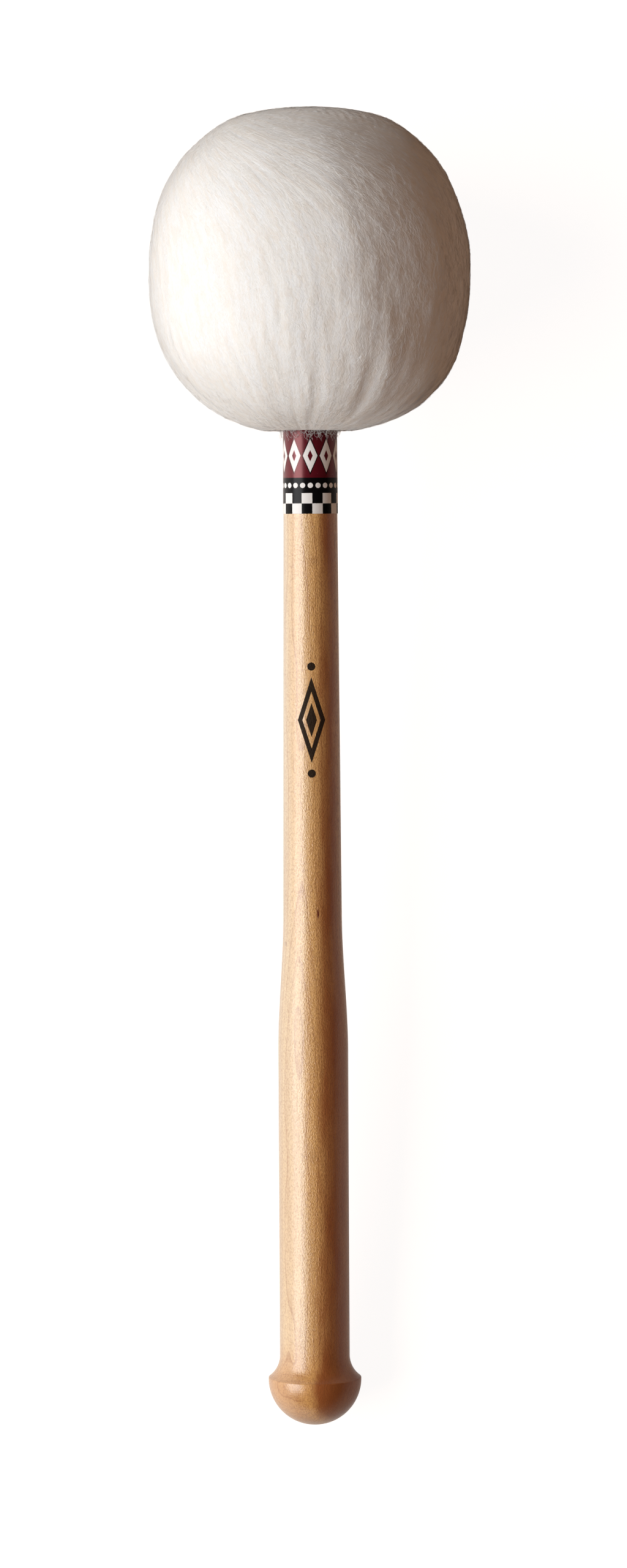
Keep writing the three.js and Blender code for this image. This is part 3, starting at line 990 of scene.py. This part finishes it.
# %% Start points
def outer_points(count):
    mesh = cover.data
    mesh.calc_loop_triangles()
    corners = np.array([t.vertices for t in mesh.loop_triangles])
    points = np.empty(len(mesh.vertices) * 3)
    mesh.vertices.foreach_get("co", points)
    points = points.reshape(-1, 3)
    a, b, c = (points[corners[:, i]] for i in range(3))
    normals = np.cross(b - a, c - a)
    areas = np.linalg.norm(normals, axis=1) / 2
    centres = (a + b + c) / 3
    from_middle = centres - np.array(laid @ Vector((0, 0, widest)))
    outward = np.einsum("ij,ij->i", from_middle, normals) > 0
    table = centres[:, 2] < 2 * TABLE_CLEARANCE
    weights = np.where(outward & ~table, areas, 0)
    chosen = rng.choice(len(corners), size=count, p=weights / weights.sum())
    u, v = rng.random(count), rng.random(count)
    over = u + v > 1
    u[over], v[over] = 1 - u[over], 1 - v[over]
    return a[chosen] + (b - a)[chosen] * u[:, None] + (c - a)[chosen] * v[:, None]


skin_tree = BVHTree.FromPolygons(
    [v.co for v in cover.data.vertices], [p.vertices for p in cover.data.polygons]
)
starts = outer_points(FIBRES)
print("the fibres start at", len(starts), "points")

# %% [markdown]
# ### Growing the fibres
#
# A fibre takes a few steps along the brushed direction and turns a little at random at each one,
# which makes it curl. After each step the nearest point of the skin is found, so the fibre stays
# on it, and then it is lifted by its own rise. A bevelled curve turns all the splines of a piece
# into thin closed tubes at once. The normal of the skin below is kept with every point: the finish
# shades a fibre partly like that skin, because light that wanders inside wool evens it out.

# %% Growing
SECTION_SIDES = 3


def grow(start, length, rise, scatter, curl):
    spot, normal, _, _ = skin_tree.find_nearest(Vector(start))
    path = [spot - normal * FIBRE_DIP]
    for step in range(1, FIBRE_STEPS + 1):
        scatter += curl[step - 1]
        way = Matrix.Rotation(scatter, 3, normal) @ brushed(spot, normal)
        spot, normal, _, _ = skin_tree.find_nearest(spot + way * (length / FIBRE_STEPS))
        lift = rise * math.sin(math.pi * (0.15 + 0.8 * step / FIBRE_STEPS))
        point = spot + normal * lift
        point.z = max(point.z, TABLE_CLEARANCE + FIBRE_RADIUS)
        path.append(point)
    return path


def section():
    """A three sided outline for the bevel of the fibres."""
    curve = bpy.data.curves.new("fibre section", "CURVE")
    spline = curve.splines.new("POLY")
    spline.points.add(SECTION_SIDES - 1)
    for i, corner in enumerate(spline.points):
        turn = -math.tau * i / SECTION_SIDES
        corner.co = (math.cos(turn), math.sin(turn), 0, 1)
    spline.use_cyclic_u = True
    return shown("fibre section", curve)


def fibres_mesh(name, paths, radii):
    outline = section()
    curve = bpy.data.curves.new(name, "CURVE")
    curve.dimensions = "3D"
    curve.bevel_mode = "OBJECT"
    curve.bevel_object = outline
    curve.use_fill_caps = True
    for path, thickness in zip(paths, radii):
        spline = curve.splines.new("POLY")
        spline.points.add(len(path) - 1)
        spline.points.foreach_set("co", [n for p in path for n in (*p, 1)])
        spline.points.foreach_set("radius", thickness)
    tubes = shown(name, curve)
    graph = bpy.context.evaluated_depsgraph_get()
    mesh = bpy.data.meshes.new_from_object(tubes.evaluated_get(graph))
    for used in (tubes, outline):
        bpy.data.objects.remove(used)
    bm = bmesh.new()
    bm.from_mesh(mesh)
    bmesh.ops.remove_doubles(bm, verts=bm.verts, dist=SEAM / 10)
    bm.to_mesh(mesh)
    bm.free()
    mesh.materials.clear()
    mesh.shade_smooth()
    below = mesh.attributes.new("skin_normal", "FLOAT_VECTOR", "POINT")
    nearest = [skin_tree.find_nearest(vert.co)[1] for vert in mesh.vertices]
    below.data.foreach_set("vector", [part for normal in nearest for part in normal])
    return mesh


def thickness_along(count, radius):
    """Thin at the root, thickest in the first half and finest at the tip."""
    return radius * np.interp(np.linspace(0, 3, count), range(4), [0.7, 1.0, 0.85, 0.3])


def brush_on():
    lengths = rng.uniform(*FIBRE_LENGTH, FIBRES)
    rises = rng.uniform(*FIBRE_RISE, FIBRES)
    scatters = rng.normal(0, BRUSH_SCATTER, FIBRES)
    curls = rng.normal(0, CURL, (FIBRES, FIBRE_STEPS))
    sizes = FIBRE_RADIUS * rng.uniform(0.7, 1.3, FIBRES)
    paths = [grow(*each) for each in zip(starts, lengths, rises, scatters, curls)]
    for piece, first in enumerate(range(0, FIBRES, FIBRES_IN_A_PIECE)):
        chosen = slice(first, first + FIBRES_IN_A_PIECE)
        radii = [thickness_along(FIBRE_STEPS + 1, size) for size in sizes[chosen]]
        name = f"wool_fibres_{piece + 1}"
        mesh = fibres_mesh(name, paths[chosen], radii)
        fibres = fasten(name, mesh, fibre_finish)
        fibres.visible_shadow = False


brush_on()

# %% [markdown]
# ### Strays at the neck
#
# Where the wool is drawn in, loose ends stick out and curl over the top of the label. Each is one
# curl: it starts under the edge of the wool, runs down and out, and turns in loops that get
# smaller. Two thirds of them are in a tuft at the front, the rest all round. They are grown in
# the upright mallet's directions and then laid down.

# %% Strays
STRAYS = 90
STRAY_STEPS = 22
STRAY_RADIUS = 0.045 * MM
STRAY_ROOT = 1.2 * MM
STRAY_REACH = (0.8 * MM, 4.2 * MM)
STRAY_AWAY = (0.2 * MM, 1.0 * MM)
STRAY_LOOP = (0.3 * MM, 0.95 * MM)
STRAY_TURNS = (0.8, 2.4)
STRAY_TUFT_TURN = math.radians(14)
STRAY_TUFT_SPREAD = math.radians(32)
STRAY_TUFT_SHARE = 0.65


def stray(turn, reach, away, loop, turns, phase):
    outward = Vector((math.sin(turn), -math.cos(turn), 0))
    sideway = Vector((math.cos(turn), math.sin(turn), 0))
    path = []
    for step in range(STRAY_STEPS + 1):
        share = step / STRAY_STEPS
        spin = phase + math.tau * turns * share
        radius = NECK_RADIUS + max(away, loop)
        level = LIP_LEVEL + STRAY_ROOT - reach * share
        curl_size = loop * math.sin(math.pi * min(1, 0.12 + share))
        point = outward * (radius + curl_size * math.sin(spin) * 0.6)
        point += sideway * curl_size * math.cos(spin)
        point.z = level + curl_size * math.sin(spin)
        path.append(laid @ point)
    return path


def add_strays():
    near_front = rng.normal(STRAY_TUFT_TURN, STRAY_TUFT_SPREAD, STRAYS)
    all_round = rng.uniform(-math.pi, math.pi, STRAYS)
    turns = np.where(rng.random(STRAYS) < STRAY_TUFT_SHARE, near_front, all_round)
    reaches = rng.uniform(*STRAY_REACH, STRAYS)
    aways = rng.uniform(*STRAY_AWAY, STRAYS)
    loops = rng.uniform(*STRAY_LOOP, STRAYS)
    windings = rng.uniform(*STRAY_TURNS, STRAYS)
    phases = rng.uniform(0, math.tau, STRAYS)
    paths = [stray(*each) for each in zip(turns, reaches, aways, loops, windings, phases)]
    radii = [thickness_along(len(path), STRAY_RADIUS) for path in paths]
    mesh = fibres_mesh("wool_strays", paths, radii)
    fasten("wool_strays", mesh, fibre_finish)


add_strays()

# %% [markdown]
# ## Finishes of the hidden pieces
#
# The core, its screw and washer, the felt and the thread are inside the head. They keep the shapes
# of the construction, and get finishes that fit what they are.

# %% Hidden finishes
HARDWOOD_TONES = ((0.6, 0.42, 0.24, 1), (0.42, 0.26, 0.13, 1))
FELT_TONES = ((0.72, 0.69, 0.64, 1), (0.55, 0.52, 0.47, 1))
THREAD_TONES = ((0.84, 0.78, 0.68, 1), (0.66, 0.58, 0.46, 1))
STEEL = (0.62, 0.63, 0.64, 1)


def two_toned(name, noise_look, ends, tones, roughness, relief):
    """A plain finish: one noise gives it both its colour and its relief."""
    m = Finish(name)
    grain = m.noise(m.place(), *noise_look)
    tone = m.blend(m.ramp(grain, *ends), *tones)
    m.set(colour=tone, roughness=roughness, normal=m.bump(grain, *relief))
    return m


def steel():
    m = Finish("zinc plated steel")
    brushing = m.noise(m.place(), (4000, 4000, 400))
    rough = m.math("MULTIPLY_ADD", brushing, 0.2, 0.25)
    m.set(colour=STEEL, metallic=1.0, roughness=rough, normal=m.bump(brushing, 0.01 * MM, 0.4))
    return m


hardwood = two_toned(
    "plain hardwood", ((900, 900, 60), 4.0), (0.3, 0.7), HARDWOOD_TONES, 0.7, (0.05 * MM, 0.5)
)
felt = two_toned(
    "pressed felt", ((350, 350, 350), 5.0, 0.7), (0.3, 0.7), FELT_TONES, 0.95, (0.3 * MM, 0.8)
)
felt.set(sheen_weight=0.3)
thread = two_toned(
    "twisted thread", ((1500, 1500, 2600),), (0.35, 0.65), THREAD_TONES, 0.85, (0.1 * MM, 0.7)
)
zinc = steel()
HIDDEN = {
    "core": hardwood,
    "core_screw": zinc,
    "screw_washer": zinc,
    "felt_wrap": felt,
    "felt_crown": felt,
    "neck_thread": thread,
}
for node, finish in HIDDEN.items():
    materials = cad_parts[node].data.materials
    materials.clear()
    materials.append(finish.material)

# %% [markdown]
# ## The table
#
# The floor is a wide disc with a low wall round it, so that from any side the mallet stands
# before a pale ground. To the camera, and in reflections, both glow a little, which makes them
# white without more light on the mallet, and the mallet's shadow still shows. In reflections
# they are bright at the left and dim at the right. To the light that bounces about they are a
# plain warm grey, so the shaded side of the mallet keeps its depth.

# %% Floor
FLOOR_RADIUS = 26.0
WALL_HEIGHT = 5.0
FLOOR_BOUNCE = (0.36, 0.28, 0.21, 1)
FLOOR_GLOW = 0.93
GLOSS_AT_LEFT = 1.0
GLOSS_AT_RIGHT = 0.15
GLOSS_FROM = -0.05
GLOSS_TO = 0.03


def pale_ground():
    m = Finish("pale ground")
    m.tree.nodes.remove(m.shader)
    rays = m.add("LightPath").outputs
    where = m.apart(m.add("NewGeometry").outputs["Position"])
    side = m.mapped(where[0], GLOSS_FROM, GLOSS_TO, GLOSS_AT_LEFT, GLOSS_AT_RIGHT)
    seen = m.math("MAXIMUM", rays["Is Camera Ray"], rays["Is Transmission Ray"])
    seen = m.math("MAXIMUM", seen, m.times(rays["Is Glossy Ray"], side))
    matte = m.add("BsdfDiffuse", {"Color": FLOOR_BOUNCE}).outputs[0]
    bright = {"Color": WHITE, "Strength": m.times(seen, FLOOR_GLOW)}
    glow = m.add("Emission", bright).outputs[0]
    both = m.add("AddShader", {0: matte, 1: glow}).outputs[0]
    m.feed(m.tree.nodes["Material Output"].inputs["Surface"], both)
    return m.material


def lay_floor():
    bm = bmesh.new()
    bmesh.ops.create_circle(bm, cap_ends=True, radius=FLOOR_RADIUS, segments=96)
    rim = bmesh.ops.extrude_edge_only(bm, edges=bm.edges)["geom"]
    raised = [v for v in rim if isinstance(v, bmesh.types.BMVert)]
    bmesh.ops.translate(bm, verts=raised, vec=(0, 0, WALL_HEIGHT))
    floor = shown("floor", finished("floor", bm))
    floor.data.materials.append(pale_ground())


lay_floor()

# %% [markdown]
# ## Light
#
# One tall soft box stands at the left, 37 degrees above the table as seen from the mallet. It
# lights the mallet along its whole length, and its reflection lays a pale veil on the left half of
# the lacquer and a soft band on the film. A dim warm card stands low at the right, for the far rim
# of the wool, and doesn't show in reflections. The world adds a faint warm fill that is stronger
# at the right.

# %% Lamps and world
KEY_POWER = 23.7
KEY_DISTANCE = 1.3
KEY_FROM_ABOVE = math.radians(53)
KEY_WIDTH = 0.95
KEY_LENGTH = 1.6
LAMPS_ALONG = -0.1
CARD_POWER = 1.55
CARD_COLOUR = (1, 0.66, 0.52)
CARD_DISTANCE = 1.0
CARD_FROM_ABOVE = math.radians(-84)
CARD_WIDTH = 0.3
CARD_LENGTH = 1.2
FILL = (0.15, 0.085, 0.047, 1)
FILL_AT_LEFT = 0.3
FILL_AT_RIGHT = 0.9
FILL_IN_GLOSS = 0.2


def soft_box(name, power, distance, from_above, width, length):
    lamp = bpy.data.lights.new(name, "AREA")
    lamp.shape = "RECTANGLE"
    lamp.size = width
    lamp.size_y = length
    lamp.energy = power
    holder = shown(name, lamp)
    back = Vector((-math.sin(from_above), 0, math.cos(from_above)))
    holder.location = back * distance + Vector((0, LAMPS_ALONG, 0))
    holder.rotation_euler = (0, -from_above, 0)
    return holder


def fill_light():
    world = bpy.data.worlds.new("studio")
    world.use_nodes = True
    graph = Graph(world.node_tree)
    way = graph.apart(graph.add("TexCoord").outputs["Generated"])
    glossy = graph.add("LightPath").outputs["Is Glossy Ray"]
    dimmed = graph.mapped(glossy, 0.0, 1.0, 1.0, FILL_IN_GLOSS)
    side = graph.mapped(way[0], -1.0, 1.0, FILL_AT_LEFT, FILL_AT_RIGHT)
    sky = world.node_tree.nodes["Background"]
    graph.feed(sky.inputs["Color"], FILL)
    graph.feed(sky.inputs["Strength"], graph.times(dimmed, side))
    bpy.context.scene.world = world


soft_box("soft box", KEY_POWER, KEY_DISTANCE, KEY_FROM_ABOVE, KEY_WIDTH, KEY_LENGTH)
card = soft_box("card", CARD_POWER, CARD_DISTANCE, CARD_FROM_ABOVE, CARD_WIDTH, CARD_LENGTH)
card.data.color = CARD_COLOUR
card.visible_glossy = False
fill_light()

# %% [markdown]
# ## Camera
#
# The photograph looks down on the mallet from about a metre and a half, from a point nearer the
# pommel than the head: the line round the label is straight, and the pommel's rim curves. The
# frame is tall, and the mallet leans a third of a degree in it.

# %% Camera
FRAME = (1024, 2560)
SENSOR = 36.0
FOCAL_PIXELS = 7953
EYE = Vector((0.5 * MM, -72.2 * MM, 1533 * MM))
AIM = Vector((0.5 * MM, -4.2 * MM, 25 * MM))
LEAN = math.radians(0.3)


def take_aim():
    camera = shown("camera", bpy.data.cameras.new("camera"))
    camera.data.sensor_width = SENSOR
    camera.data.lens = SENSOR * FOCAL_PIXELS / max(FRAME)
    backwards = (EYE - AIM).normalized()
    up = Vector((math.sin(LEAN), math.cos(LEAN), 0))
    right = up.cross(backwards).normalized()
    up = backwards.cross(right)
    turned = Matrix((right, up, backwards)).transposed().to_4x4()
    camera.matrix_world = Matrix.Translation(EYE) @ turned
    bpy.context.scene.camera = camera


take_aim()
bpy.context.scene.view_settings.view_transform = "Standard"
